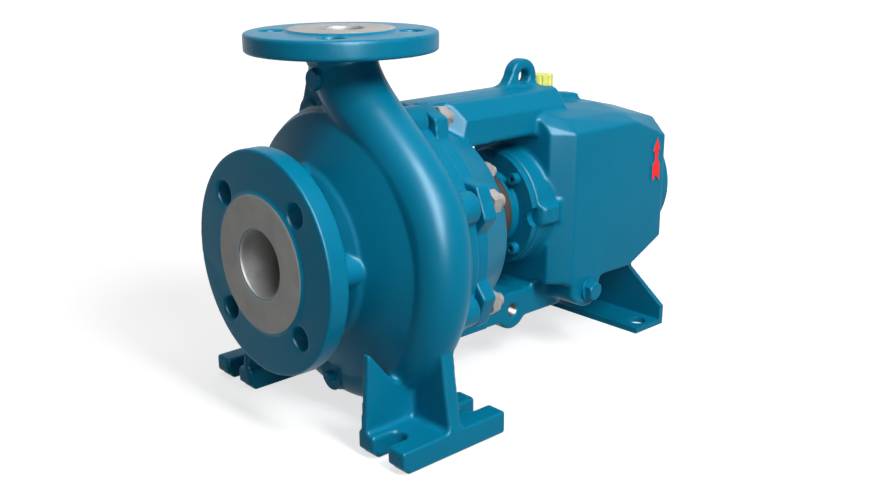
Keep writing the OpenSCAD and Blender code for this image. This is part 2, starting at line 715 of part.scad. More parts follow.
module bearing_frame()
    color(paint) difference() {
        union() {
            joint_flange();
            drum();
            top_beam();
            bottom_beam();
            bearing_box();
            rod(barrel_x, box_x + cut, barrel_r);
            lifting_eye();
            // Stepped boss on the side of the barrel, and the lobe round the oil drain
            translate([barrel_x + 1, -barrel_r - 3, shaft_h - 8]) cube([22, 20, 17]);
            translate([barrel_x + 4, -barrel_r - 6, shaft_h - 6]) cube([15, 20, 13]);
            plate_xz(-box_half_w, 50) drain_lobe();
            translate([roof_pad_x, -roof_pad_w / 2, shaft_h + box_half_h]) rotate([0, 8, 0])
                cube([33, roof_pad_w, ridge_h - box_half_h - 9]);
            translate([box_end - 34, -26, shaft_h - box_half_h - foot_pad_h]) cube([34, 52, foot_pad_h + 8]);
        }
        // Room inside the drum, bearing seats and oil chamber
        rod(drum_x - cut, cover_back_x, cover_flange_r + 0.5);
        rod(barrel_x - cut, front_bearing_x + bearing_w, bearing_od / 2);
        rod(barrel_x, box_end + cut, bearing_od / 2 - 5);
        rod(box_x + 20, box_end - 40, 44);
        rod(rear_bearing_x, box_end + cut, bearing_od / 2);
        around(stud_count, stud_pcd / 2, first_stud_a) x_rod(joint_x - cut, drum_x + cut, stud_d / 2 + 0.5);
        around(stud_count, stud_pcd / 2, first_stud_a) x_rod(drum_x, drum_x + 30, 11);
        around(4, cover_stud_r, 45) x_rod(cover_back_x - cut, drum_end + cut, 4.5);
        around(4, front_screw_r, 45) x_rod(barrel_x - cut, barrel_x + 12, 2.5);
        around(4, rear_screw_r, 45) x_rod(box_end - 12, box_end + cut, 3);
        for (side = [-1, 1])
            translate([support_bolt_x, side * support_bolt_y, shaft_h - box_half_h - foot_pad_h - cut])
                cylinder(r = support_bolt_r, h = 12 + cut, $fn = 48);
        translate([joint_x + eye_x, -eye_t, shaft_h + eye_z]) rotate([-90, 0, 0])
            cylinder(d = eye_hole_d, h = 2 * eye_t, $fn = 48);
        translate([box_x + filler_x, 0, shaft_h + filler_seat_z - 50]) cylinder(d = filler_neck_d, h = 60,
            $fn = 48);
        translate([box_x + filler_x, 0, shaft_h + filler_seat_z]) cylinder(d = filler_cap_d + 2, h = 30,
            $fn = 48);
        translate([tap_x, -low_beam_w - cut, shaft_h + tap_z]) rotate([-90, 0, 0]) cylinder(r = 5, h = 20,
            $fn = 48);
        translate([oil_drain_x, -box_half_w - cut, shaft_h + oil_drain_z]) rotate([-90, 0, 0])
            cylinder(r = plug_thread_r, h = 16, $fn = 48);
    }

module front_bearing_cover()
    color(paint) difference() {
        turned([[front_cover_x - front_hub_l, bearing_bore_d / 2 + 2],
            [front_cover_x - front_hub_l, front_hub_r],
            [front_cover_x, front_hub_r], [front_cover_x, front_cover_r], [barrel_x, front_cover_r],
            [barrel_x, bearing_od / 2 - run_gap], [front_bearing_x, bearing_od / 2 - run_gap],
            [front_bearing_x, bearing_od / 2 - 6], [barrel_x - 2, bearing_od / 2 - 6],
            [barrel_x - 2, bearing_bore_d / 2 + 2]]);
        rod(front_cover_x - front_hub_l + 2, barrel_x, bearing_bore_d / 2 + 6);
        around(4, front_screw_r, 45) x_rod(front_cover_x - cut, barrel_x + cut, 2.8);
        around(4, front_cover_r + 2, 0) x_rod(front_cover_x - cut, barrel_x + cut, 8);
    }

module socket_screw(x0, x1, r, head_r, head_l)
    difference() {
        union() {
            x_rod(x0, x1, r, 32);
            x_rod(x0 - head_l, x0, head_r, 32);
        }
        x_rod(x0 - head_l - cut, x0 - head_l * 0.4, head_r * 0.5, 6);
    }

module front_cover_screws()
    color(paint) around(4, front_screw_r, 45) socket_screw(front_cover_x, barrel_x + 10, 2.5 - fit_gap,
        4.8, 6);

module lip_seal(x0, x1)
    color(dark_seal) ring(x0, x1, bearing_bore_d / 2 + run_gap, bearing_bore_d / 2 + 6 - fit_gap);
module front_lip_seal() lip_seal(front_cover_x - front_hub_l + 2, barrel_x - 3);

module rear_bearing_cover()
    color(paint) difference() {
        turned([[rear_bearing_x + bearing_w, bearing_od / 2 - 6],
            [rear_bearing_x + bearing_w, bearing_od / 2 - run_gap],
            [box_end, bearing_od / 2 - run_gap], [box_end, rear_cover_r],
            [box_end + rear_cover_t - 2, rear_cover_r],
            [box_end + rear_cover_t, rear_cover_r - 2], [box_end + rear_cover_t, bearing_bore_d / 2],
            [box_end + 3, bearing_bore_d / 2], [box_end + 3, bearing_od / 2 - 6]]);
        rod(box_end + 3 - cut, box_end + rear_cover_t - 2, shaft_end_d / 2 + 7);
        around(4, rear_screw_r, 45) x_rod(box_end - cut, box_end + rear_cover_t + cut, 3.3);
    }

module rear_cover_screws()
    color(steel) around(4, rear_screw_r, 45) {
        x_rod(box_end - 10, box_end + rear_cover_t + cut, 3 - fit_gap, 32);
        x_hex(box_end + rear_cover_t, box_end + rear_cover_t + 5, 10);
    }

module rear_lip_seal()
    color(dark_seal) ring(box_end + 3, box_end + rear_cover_t - 2, shaft_end_d / 2 + run_gap + 1,
        shaft_end_d / 2 + 7 - fit_gap);

groove_r = ball_d / 2 + 0.2;
race_h = (bearing_od - bearing_bore_d) / 2 * 0.3;
module groove(x) on_shaft(x + bearing_w / 2) rotate_extrude($fn = round_fn)
    translate([pitch_r, 0]) circle(r = groove_r, $fn = 48);
module outer_race(x)
    color(bright_steel) difference() {
        ring(x, x + bearing_w, bearing_od / 2 - race_h, bearing_od / 2 - fit_gap);
        groove(x);
    }
module inner_race(x)
    color(bright_steel) difference() {
        ring(x, x + bearing_w, bearing_bore_d / 2 + fit_gap, bearing_bore_d / 2 + race_h);
        groove(x);
    }
module balls(x, r) on_shaft(x + bearing_w / 2) for (k = [0 : ball_count - 1])
    rotate([0, 0, k * 360 / ball_count]) translate([pitch_r, 0, 0]) sphere(r = r, $fn = 32);
module cage(x)
    color(bronze) difference() {
        ring(x + 2, x + bearing_w - 2, pitch_r - 2, pitch_r + 2);
        on_shaft(x + bearing_w / 2) for (k = [0 : ball_count - 1]) rotate([0, 90, k * 360 / ball_count])
            cylinder(r = ball_d / 2 + run_gap, h = bearing_od / 2, $fn = 48);
    }

module front_outer_race() outer_race(front_bearing_x);
module rear_outer_race() outer_race(rear_bearing_x);
module front_inner_race() inner_race(front_bearing_x);
module rear_inner_race() inner_race(rear_bearing_x);
module front_bearing_cage() cage(front_bearing_x);
module rear_bearing_cage() cage(rear_bearing_x);
module front_bearing_balls() color(bright_steel) balls(front_bearing_x, ball_d / 2);
module rear_bearing_balls() color(bright_steel) balls(rear_bearing_x, ball_d / 2);

module support_foot() {
    x_back = box_end + 6;
    color(paint) difference() {
        union() {
            translate([x_back - support_l, -support_half_w, 0]) cube([support_l, 2 * support_half_w,
                support_t]);
            plate_yz(x_back - support_t, support_t)
                polygon([[-support_half_w, -shaft_h], [support_half_w, -shaft_h], [support_half_w, -114],
                    [24, -84], [24, -box_half_h - foot_pad_h], [-24, -box_half_h - foot_pad_h], [-24, -84],
                    [-support_half_w, -114]]);
            translate([x_back - 36, -24, shaft_h - box_half_h - foot_pad_h - support_t]) cube([36, 48,
                support_t]);
        }
        for (side = [-1, 1])
            translate([x_back - 22, side * support_hole_y / 2, -cut])
                cylinder(d = support_hole_d, h = support_t + 2 * cut, $fn = 48);
        for (side = [-1, 1])
            translate([support_bolt_x, side * support_bolt_y, shaft_h - box_half_h - 20])
                cylinder(r = support_bolt_r + 0.5, h = 20, $fn = 48);
    }
}

module support_foot_bolts()
    color(steel) for (side = [-1, 1])
        translate([support_bolt_x, side * support_bolt_y, shaft_h - box_half_h - foot_pad_h - support_t])
            rotate([0, 90, 0]) {
                x_rod(-support_t - 10, cut, support_bolt_r - fit_gap);
                x_hex(0, 5, 13);
            }

module oil_drain_plug()
    color(paint) translate([oil_drain_x, -box_half_w, shaft_h + oil_drain_z]) rotate([0, 0, -90]) {
        x_rod(-12, cut, plug_thread_r - fit_gap);
        x_rod(0, 2.5, 10);
        x_hex(2, 9, plug_af);
    }

module oil_filler_neck()
    color(steel) translate([box_x + filler_x, 0, shaft_h + filler_seat_z - 20]) difference() {
        cylinder(d = filler_neck_d - 2 * fit_gap, h = 20, $fn = 48);
        translate([0, 0, -cut]) cylinder(d = filler_neck_d - 2 * filler_neck_wall, h = 20 + 2 * cut,
            $fn = 48);
    }

cap_flutes = 8;
module oil_filler_cap()
    color(cap_yellow) translate([box_x + filler_x, 0, shaft_h + filler_seat_z]) {
        difference() {
            translate([0, 0, run_gap]) cylinder(d = filler_cap_d, h = filler_cap_h, $fn = 48);
            for (k = [0 : cap_flutes - 1]) rotate([0, 0, k * 360 / cap_flutes])
                translate([filler_cap_d / 2 + 0.8, 0, 3]) cylinder(r = 2, h = filler_cap_h, $fn = 24);
        }
        translate([0, 0, -10]) cylinder(d = filler_neck_d - 2 * filler_neck_wall - 2 * run_gap,
            h = 10 + cut, $fn = 48);
    }

// The keyway at the coupling is turned from the one at the impeller
key_turn = 112.5;
module shaft()
    color(bright_steel) difference() {
        turned([[-23, 0], [-23, 8], [-14, 8], [-14, shaft_d_impeller / 2],
            [back_outer + 6, shaft_d_impeller / 2],
            [back_outer + 6, shaft_d_sleeve / 2], [cover_back_x + gland_t + 22, shaft_d_sleeve / 2],
            [cover_back_x + gland_t + 22, bearing_bore_d / 2],
            [front_bearing_x + bearing_w, bearing_bore_d / 2],
            [front_bearing_x + bearing_w, bearing_bore_d / 2 + 3], [rear_bearing_x, bearing_bore_d / 2 + 3],
            [rear_bearing_x, bearing_bore_d / 2], [box_end + 1, bearing_bore_d / 2],
            [box_end + 1, shaft_end_d / 2 + 1],
            [shaft_end - shaft_end_l, shaft_end_d / 2 + 1], [shaft_end - shaft_end_l, shaft_end_d / 2],
            [shaft_end - 1.5, shaft_end_d / 2], [shaft_end, shaft_end_d / 2 - 1.5], [shaft_end, 0]]);
        translate([0, 0, shaft_h]) rotate([key_turn, 0, 0])
            translate([shaft_end - 45, -key_w / 2, shaft_end_d / 2 - 4]) cube([40, key_w, 10]);
        translate([-10, -2.5, shaft_h + shaft_d_impeller / 2 - 2.5]) cube([18, 5, 10]);
    }

module impeller_key()
    color(steel) translate([-10 + fit_gap, -2.5 + fit_gap, shaft_h + shaft_d_impeller / 2 - 2.5])
        cube([18 - 2 * fit_gap, 5 - 2 * fit_gap, 4.5]);

// A vane as a curved bar in the plane across the shaft
eye_start_r = 24;
function vane_angle(r) = vane_sweep * ln(r / eye_start_r) / ln(impeller_r / eye_start_r);
function vane_side(offset) = [for (i = [0 : 14]) let(r = eye_start_r + (impeller_r + 2 - eye_start_r)
    * i / 14,
    a = vane_angle(r) + offset * 180 / (PI * r)) [r * cos(a), r * sin(a)]];
function reversed(list) = [for (i = [len(list) - 1 : -1 : 0]) list[i]];
module vanes()
    for (k = [0 : vane_count - 1]) on_shaft(-20) rotate([0, 0, k * 360 / vane_count])
        linear_extrude(30) polygon(concat(vane_side(-vane_t), reversed(vane_side(vane_t))));

module impeller()
    color(bare_metal) difference() {
        union() {
            turned([[-14, shaft_d_impeller / 2 + fit_gap], [-14, 16], [-7, 18], [-1, 24], [2, 33],
                [back_inner, 46],
                [back_inner, impeller_r], [back_outer, impeller_r], [back_outer, sleeve_r + 2],
                [back_outer + 6, sleeve_r + 2], [back_outer + 6, shaft_d_impeller / 2 + fit_gap]]);
            turned([[eye_front_x, eye_r_in], [eye_front_x, eye_r_out], [collar_back_x, eye_r_out],
                [front_outer - 4, eye_r_out + 6], [front_outer, 50], [front_outer, impeller_r],
                [front_inner, impeller_r], [front_inner, 50], [front_inner - 4, 35], [-15, eye_r_in + 1]]);
            intersection() {
                vanes();
                turned([[-17, 16], [-17, eye_r_in + 1.5], [front_inner - 5, 35], [front_inner - 0.5, 50],
                    [front_inner - 0.5, impeller_r - 0.5], [back_inner + 0.5, impeller_r - 0.5],
                    [back_inner + 0.5, 46],
                    [3, 33], [0, 24], [-6, 18]]);
            }
        }
        translate([-10, -2.5, shaft_h]) cube([18, 5, shaft_d_impeller / 2 + 2.5]);
    }

module impeller_nut()
    color(bright_steel) difference() {
        on_shaft(-14) mirror([0, 0, 1]) {
            cylinder(d = 26 / cos(30), h = 9, $fn = 6);
            cylinder(r1 = 13, r2 = 9, h = 12, $fn = 48);
        }
        rod(-23 - fit_gap, -14 + cut, 8 + fit_gap);
    }

module bearing_lock_nut()
    color(steel) difference() {
        ring(rear_bearing_x + bearing_w, rear_bearing_x + bearing_w + 6, bearing_bore_d / 2 + fit_gap,
            bearing_od / 2 - 12);
        for (k = [0 : 3]) on_shaft(rear_bearing_x + bearing_w - cut) rotate([0, 0, 90 * k])
            translate([bearing_od / 2 - 14, -2.5, 0]) cube([4, 5, 8]);
    }

volute_casing();
casing_wear_ring();
drain_plug();
gauge_plug();
rear_gauge_plug();
casing_cover();
casing_gasket();
bearing_frame();
casing_studs();
casing_nuts();
cover_studs();
cover_nuts();
seal_gland();
gland_screws();
seal_seat();
front_bearing_cover();
front_cover_screws();
front_lip_seal();
rear_bearing_cover();
rear_cover_screws();
rear_lip_seal();
front_outer_race();
rear_outer_race();
support_foot();
support_foot_bolts();
oil_drain_plug();
oil_filler_neck();
oil_filler_cap();
shaft();
impeller();
impeller_key();
impeller_nut();
shaft_sleeve();
seal_ring();
seal_head();
deflector_ring();
front_inner_race();
rear_inner_race();
bearing_lock_nut();
front_bearing_cage();
front_bearing_balls();
rear_bearing_cage();
rear_bearing_balls();
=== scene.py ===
# Chemical centrifugal pump: painted castings with real fillets, machined faces, fasteners and studio light.
# Blender works in metres here. The sizes below are millimetres of the pump and are scaled by MM.
# The frame's origin is on the floor under the discharge centreline. +X is the drive end, +Z is up.
import json
import math

import bmesh
import bpy
import numpy as np
import openvdb
from mathutils import Matrix, Vector


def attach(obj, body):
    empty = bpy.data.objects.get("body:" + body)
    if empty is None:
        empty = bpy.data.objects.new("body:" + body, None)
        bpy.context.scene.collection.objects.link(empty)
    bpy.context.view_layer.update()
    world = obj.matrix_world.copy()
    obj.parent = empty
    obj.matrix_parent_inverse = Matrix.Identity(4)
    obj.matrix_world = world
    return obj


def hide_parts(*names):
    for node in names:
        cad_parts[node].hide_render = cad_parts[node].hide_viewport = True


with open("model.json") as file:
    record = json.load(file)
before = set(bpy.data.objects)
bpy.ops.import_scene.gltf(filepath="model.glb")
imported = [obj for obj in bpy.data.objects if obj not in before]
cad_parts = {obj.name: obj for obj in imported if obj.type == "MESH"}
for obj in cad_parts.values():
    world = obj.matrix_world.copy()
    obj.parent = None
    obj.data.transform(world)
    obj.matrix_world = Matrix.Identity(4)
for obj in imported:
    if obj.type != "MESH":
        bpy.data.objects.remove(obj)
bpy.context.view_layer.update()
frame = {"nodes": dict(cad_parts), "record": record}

MM = 0.001
SHAFT_H = 132.0

# Places on the bearing frame
BOX_SIDE_Y = -60.0
SIDE_HOLE_X = 153.0
SIDE_HOLE_Y = -28.0
SIDE_HOLE_Z = 46.0
SIDE_HOLE_R = 5.0
ARROW_X = 299.2
ARROW_TIP_Z = 180.5
ARROW_HEIGHT = 1.3

# The castings: the size of the grid's cells, then the radii of inner corners and outer edges.
# An edge radius is taken down by CLOSING_STEP, up to CLOSING_LIMIT, until the surface is closed.
VOXEL = 0.85
CASING_HOLLOW_R = 1.3
CASING_EDGE_R = 1.2
FOOT_HOLLOW_R = 3.0
FOOT_EDGE_R = 1.8
FOOT_ZONE_Y = 66.0
FOOT_ZONE_Z = 62.0
FRAME_HOLLOW_R = 3.0
FRAME_EDGE_R = 2.2
DRUM_HOLLOW_R = 1.6
FRAME_SEAM_X = 122.0
SEAM_OVERLAP = 0.02
MOST_FACES = 190000
CLOSING_STEP = 0.02
CLOSING_LIMIT = 0.2

# The machined faces and bores of the two pipe flanges
SUCTION_X = -80.0
SUCTION_FACE_R = 51.0
SUCTION_BORE_R = 25.0
DISCHARGE_TOP = 292.0
DISCHARGE_FACE_R = 39.0
DISCHARGE_BORE_R = 16.0
SUCTION_BARE_END_X = -25.0
DISCHARGE_BARE_END_Z = 240.0
BARE_DEPTH = 0.4
BARE_MARGIN = 0.55

THREAD_SIDES = 48

# The camera, solved from the real sizes of the flanges and feet. Angles are degrees.
CAMERA_AZIMUTH = -42.13
CAMERA_ELEVATION = 17.23
CAMERA_ROLL = -0.37
CAMERA_RIGHT = 65.98
CAMERA_UP = -5.74
CAMERA_DISTANCE = 810.03
FOCAL_PIXELS = 1070.27
PICTURE_PIXELS = 870.0
SENSOR_WIDTH = 36.0

# Lamps stand this far from the pump's middle
LAMP_DISTANCE = 1500.0
LAMP_TARGET = (100.0, 0.0, 140.0)


# Materials

def new_material(name):
    material = bpy.data.materials.new(name)
    material.use_nodes = True
    nodes = material.node_tree.nodes
    return material, nodes, material.node_tree.links, nodes["Principled BSDF"]


def noise(nodes, links, scale, detail=3.0, roughness=0.5):
    """A noise texture in the object's own metres."""
    place = nodes.new("ShaderNodeTexCoord")
    texture = nodes.new("ShaderNodeTexNoise")
    texture.inputs["Scale"].default_value = scale
    texture.inputs["Detail"].default_value = detail
    texture.inputs["Roughness"].default_value = roughness
    links.new(place.outputs["Object"], texture.inputs["Vector"])
    return texture.outputs["Fac"]


def spread(nodes, links, value, low, high):
    """Maps a noise value from about 0.3 to 0.7 to low and high."""
    node = nodes.new("ShaderNodeMapRange")
    node.inputs["From Min"].default_value = 0.3
    node.inputs["From Max"].default_value = 0.7
    node.inputs["To Min"].default_value = low
    node.inputs["To Max"].default_value = high
    links.new(value, node.inputs["Value"])
    return node.outputs["Result"]


def mottled(nodes, links, value, dark, light):
    """A colour that drifts between two close shades."""
    ramp = nodes.new("ShaderNodeValToRGB")
    ramp.color_ramp.elements[0].position = 0.3
    ramp.color_ramp.elements[0].color = (*dark, 1.0)
    ramp.color_ramp.elements[1].position = 0.7
    ramp.color_ramp.elements[1].color = (*light, 1.0)
    links.new(value, ramp.inputs["Fac"])
    return ramp.outputs["Color"]


def bump(nodes, links, height, strength, distance, before=None):
    node = nodes.new("ShaderNodeBump")
    node.inputs["Strength"].default_value = strength
    node.inputs["Distance"].default_value = distance
    links.new(height, node.inputs["Height"])
    if before is not None:
        links.new(before, node.inputs["Normal"])
    return node.outputs["Normal"]


def calculate(nodes, links, operation, first, second=0.0):
    """A math node whose inputs are sockets or plain numbers."""
    node = nodes.new("ShaderNodeMath")
    node.operation = operation
    for socket, value in zip(node.inputs, (first, second)):
        if isinstance(value, float):
            socket.default_value = value
        else:
            links.new(value, socket)
    return node.outputs["Value"]


def inside(nodes, links, across, along, centre, radius, limit):
    """1 within a radius of a pipe's axis and below a limit along it, in metres."""
    offsets = [calculate(nodes, links, "SUBTRACT", value, middle) for value, middle in zip(across, centre)]
    squares = [calculate(nodes, links, "MULTIPLY", value, value) for value in offsets]
    reach = calculate(nodes, links, "SQRT", calculate(nodes, links, "ADD", *squares))
    near = calculate(nodes, links, "LESS_THAN", reach, radius)
    return calculate(nodes, links, "MULTIPLY", near, calculate(nodes, links, "LESS_THAN", along, limit))


def machined_zones(nodes, links):
    """1 on the raised faces and the bores of the two pipe flanges."""
    place = nodes.new("ShaderNodeTexCoord")
    parts = nodes.new("ShaderNodeSeparateXYZ")
    links.new(place.outputs["Object"], parts.inputs["Vector"])
    x, y, z = parts.outputs
    down = calculate(nodes, links, "MULTIPLY", z, -1.0)
    deep = BARE_DEPTH * MM
    margin = BARE_MARGIN * MM
    axis = (0.0, SHAFT_H * MM)
    middle = (0.0, 0.0)
    bore_end = -DISCHARGE_BARE_END_Z * MM
    zones = [
        inside(nodes, links, (y, z), x, axis, SUCTION_FACE_R * MM, SUCTION_X * MM + deep),
        inside(nodes, links, (y, z), x, axis, SUCTION_BORE_R * MM + margin, SUCTION_BARE_END_X * MM),
        inside(nodes, links, (x, y), down, middle, DISCHARGE_FACE_R * MM, deep - DISCHARGE_TOP * MM),
        inside(nodes, links, (x, y), down, middle, DISCHARGE_BORE_R * MM + margin, bore_end),
    ]
    whole = zones[0]
    for zone in zones[1:]:
        whole = calculate(nodes, links, "MAXIMUM", whole, zone)
    return whole


def between(nodes, links, share, first, second, kind="FLOAT"):
    """first where share is 0, second where it is 1."""
    node = nodes.new("ShaderNodeMix")
    node.data_type = kind
    sockets = [socket for socket in node.inputs if socket.enabled]
    links.new(share, sockets[0])
    links.new(first, sockets[1])
    links.new(second, sockets[2])
    return next(socket for socket in node.outputs if socket.enabled)


def painted_iron(name, machined=False):
    """Blue two-coat paint over sand-cast iron, with matt machined faces where the pipes join."""
    material, nodes, links, shader = new_material(name)
    drift = noise(nodes, links, 14.0, 2.0)
    colour = mottled(nodes, links, drift, (0.0, 0.152, 0.264), (0.0, 0.166, 0.286))
    rough = spread(nodes, links, noise(nodes, links, 90.0, 3.0), 0.31, 0.36)
    if machined:
        bare = machined_zones(nodes, links)
        cloud = noise(nodes, links, 70.0, 5.0, 0.6)
        grey = mottled(nodes, links, cloud, (0.240, 0.236, 0.228), (0.290, 0.286, 0.276))
        colour = between(nodes, links, bare, colour, grey, "RGBA")
        rough = between(nodes, links, bare, rough, spread(nodes, links, cloud, 0.50, 0.62))
        links.new(calculate(nodes, links, "MULTIPLY", bare, 0.12), shader.inputs["Metallic"])
    links.new(colour, shader.inputs["Base Color"])
    links.new(rough, shader.inputs["Roughness"])
    edges = nodes.new("ShaderNodeBevel")
    edges.samples = 4
    edges.inputs["Radius"].default_value = 0.0007
    waves = bump(nodes, links, noise(nodes, links, 60.0, 2.0), 0.10, 0.0005, edges.outputs["Normal"])
    peel = bump(nodes, links, noise(nodes, links, 900.0, 2.0), 0.05, 0.0001, waves)
    links.new(peel, shader.inputs["Normal"])
    shader.inputs["Specular IOR Level"].default_value = 0.07
    shader.inputs["Specular Tint"].default_value = (0.62, 0.84, 1.0, 1.0)
    return material


def machined_iron():
    """Bare machined casting: matt grey with faint cloudy marks."""
    material, nodes, links, shader = new_material("machined_iron")
    cloud = noise(nodes, links, 70.0, 5.0, 0.6)
    grey = mottled(nodes, links, cloud, (0.165, 0.155, 0.148), (0.195, 0.185, 0.176))
    links.new(grey, shader.inputs["Base Color"])
    links.new(spread(nodes, links, cloud, 0.50, 0.62), shader.inputs["Roughness"])
    links.new(bump(nodes, links, noise(nodes, links, 1500.0, 2.0), 0.08, 0.00008), shader.inputs["Normal"])
    shader.inputs["Metallic"].default_value = 0.25
    return material


def metal(name, dark, light, rough, metallic=0.85):
    material, nodes, links, shader = new_material(name)
    cloud = noise(nodes, links, 220.0, 3.0)
    links.new(mottled(nodes, links, cloud, dark, light), shader.inputs["Base Color"])
    links.new(spread(nodes, links, cloud, rough - 0.04, rough + 0.05), shader.inputs["Roughness"])
    links.new(bump(nodes, links, noise(nodes, links, 1200.0, 2.0), 0.06, 0.00005), shader.inputs["Normal"])
    shader.inputs["Metallic"].default_value = metallic
    shader.inputs["Specular IOR Level"].default_value = 0.25
    return material


def plastic(name, colour, rough, grain):
    material, nodes, links, shader = new_material(name)
    tone = noise(nodes, links, 40.0, 2.0)
    dark = tuple(0.94 * c for c in colour)
    links.new(mottled(nodes, links, tone, dark, colour), shader.inputs["Base Color"])
    links.new(spread(nodes, links, tone, rough - 0.03, rough + 0.03), shader.inputs["Roughness"])
    links.new(bump(nodes, links, noise(nodes, links, grain, 2.0), 0.05, 0.00006), shader.inputs["Normal"])
    shader.inputs["Specular IOR Level"].default_value = 0.12
    return material


PAINT = painted_iron("blue_paint")
CASING_PAINT = painted_iron("casing_paint", True)
SLOT_MATERIALS = {
    "blue_paint": PAINT,
    "machined_iron": machined_iron(),
    "steel": metal("steel", (0.20, 0.185, 0.175), (0.26, 0.245, 0.232), 0.52, 0.12),
    "bright_steel": metal("bright_steel", (0.46, 0.47, 0.48), (0.54, 0.55, 0.56), 0.26, 0.9),
    "bronze": metal("bronze", (0.36, 0.22, 0.08), (0.42, 0.27, 0.11), 0.35),
    "seal_rubber": plastic("seal_rubber", (0.040, 0.033, 0.030), 0.62, 700.0),
    "seal_carbon": plastic("seal_carbon", (0.020, 0.020, 0.022), 0.38, 900.0),
    "gasket_fibre": plastic("gasket_fibre", (0.60, 0.56, 0.46), 0.80, 900.0),
    "yellow_plastic": plastic("yellow_plastic", (0.71, 0.71, 0.155), 0.34, 500.0),
}
# Near-black steel for the thread in the side hole: bare metal with the hole's shade painted into its colour
THREAD_STEEL_WITH_PAINTED_SHADE = metal("thread_steel_painted_shade", (0.045, 0.045, 0.045), (0.08, 0.08, 0.08), 0.40, 0.6)
RED = plastic("red_enamel", (0.90, 0.022, 0.022), 0.42, 500.0)


# Meshes

def add_object(name, mesh):
    made = bpy.data.objects.new(name, mesh)
    bpy.context.scene.collection.objects.link(made)
    return made


def mesh_from(name, points, faces):
    mesh = bpy.data.meshes.new(name)
    mesh.from_pydata((np.asarray(points) * MM).tolist(), [], np.asarray(faces).tolist())
    mesh.update()
    return mesh


def bake_modifiers(piece):
    """Replaces the object's mesh by the result of its modifiers."""
    graph = bpy.context.evaluated_depsgraph_get()
    mesh = bpy.data.meshes.new_from_object(piece.evaluated_get(graph))
    piece.modifiers.clear()
    piece.data = mesh


def combine(piece, other, operation):
    """Unites, cuts or intersects with another closed mesh, and removes that one."""
    step = piece.modifiers.new("combine", "BOOLEAN")
    step.operation = operation
    step.solver = "MANIFOLD"
    step.object = other
    bake_modifiers(piece)
    bpy.data.objects.remove(other)


def turned(name, outline, sides):
    """A closed outline of (station, radius) points turned about the X axis."""
    mesh = bpy.data.meshes.new(name)
    net = bmesh.new()
    rings = []
    for k in range(sides):
        a = 2 * math.pi * k / sides
        ring = []
        for station, radius in outline:
            place = (station, radius * math.cos(a), radius * math.sin(a))
            ring.append(net.verts.new(Vector(place) * MM))
        rings.append(ring)
    count = len(outline)
    for k in range(sides):
        here = rings[k]
        there = rings[(k + 1) % sides]
        for i in range(count):
            j = (i + 1) % count
            net.faces.new((here[i], here[j], there[j], there[i]))
    bmesh.ops.remove_doubles(net, verts=net.verts, dist=1e-7)
    bmesh.ops.recalc_face_normals(net, faces=net.faces)
    net.to_mesh(mesh)
    net.free()
    return add_object(name, mesh)


def node_surface(node):
    """The points in millimetres and the triangles of a CAD node."""
    mesh = frame["nodes"][node].data
    mesh.calc_loop_triangles()
    points = np.empty(len(mesh.vertices) * 3, np.float32)
    mesh.vertices.foreach_get("co", points)
    triangles = np.empty(len(mesh.loop_triangles) * 3, np.int32)
    mesh.loop_triangles.foreach_get("vertices", triangles)
    return points.reshape(-1, 3) / MM, triangles.reshape(-1, 3)


def grown(points, faces, distance):
    """The surface at a distance outside the given one, or inside it where the distance is negative."""
    kind = "triangles" if faces.shape[1] == 3 else "quads"
    grid = openvdb.FloatGrid.createLevelSetFromPolygons(
        np.ascontiguousarray(points, np.float32),
        transform=openvdb.createLinearTransform(voxelSize=VOXEL),
        halfWidth=abs(distance) / VOXEL + 3.0,
        **{kind: np.ascontiguousarray(faces, np.uint32)},
    )
    return grid.convertToQuads(isovalue=distance)


def is_closed(faces):
    """True if every edge of the four-sided faces has two faces, which the boolean steps need."""
    ends = np.stack([faces, np.roll(faces, -1, axis=1)], axis=-1).reshape(-1, 2).astype(np.int64)
    ends.sort(axis=1)
    counts = np.unique(ends[:, 0] * (int(faces.max()) + 1) + ends[:, 1], return_counts=True)[1]
    return bool((counts == 2).all())


def cast_surface(name, points, faces, hollow_r, edge_r):
    """Rounds the inner corners to hollow_r and the outer edges to edge_r, as a sand casting has them."""
    points, faces = grown(points, faces, hollow_r)
    points, faces = grown(points, faces, -hollow_r - edge_r)
    for less in np.arange(0.0, CLOSING_LIMIT, CLOSING_STEP):
        cast_points, cast_faces = grown(points, faces, edge_r - less)
        if is_closed(cast_faces):
            break
    return add_object(name, mesh_from(name, cast_points, cast_faces[:, ::-1]))


def block(name, low, high):
    """A closed box between two corners in millimetres."""
    mesh = bpy.data.meshes.new(name)
    net = bmesh.new()
    bmesh.ops.create_cube(net, size=1.0)
    for vert in net.verts:
        vert.co = Vector([(low[i] if vert.co[i] < 0 else high[i]) * MM for i in range(3)])
    net.to_mesh(mesh)
    net.free()
    return add_object(name, mesh)


def copy_of(piece):
    return add_object(piece.name + "_copy", piece.data.copy())


def shade(piece, degrees=35.0):
    """Smooth shading that keeps edges sharper than the angle."""
    piece.data.polygons.foreach_set("use_smooth", [True] * len(piece.data.polygons))
    piece.data.set_sharp_from_angle(angle=math.radians(degrees))


def slim(piece, most=MOST_FACES):
    """Collapses edges until the mesh has at most this many triangles."""
    piece.data.calc_loop_triangles()
    count = len(piece.data.loop_triangles)
    if count > most:
        step = piece.modifiers.new("slim", "DECIMATE")
        step.ratio = most / count
        bake_modifiers(piece)


def paint_faces(piece, materials, choose):
    """Gives each face the material whose number choose(centre in mm, normal) returns."""
    piece.data.materials.clear()
    for material in materials:
        piece.data.materials.append(material)
    for face in piece.data.polygons:
        face.material_index = choose(face.center / MM, face.normal)


def finish_piece(piece, body, slot, *nodes):
    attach(piece, body)
    if nodes:
        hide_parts(*nodes)


# The volute casing

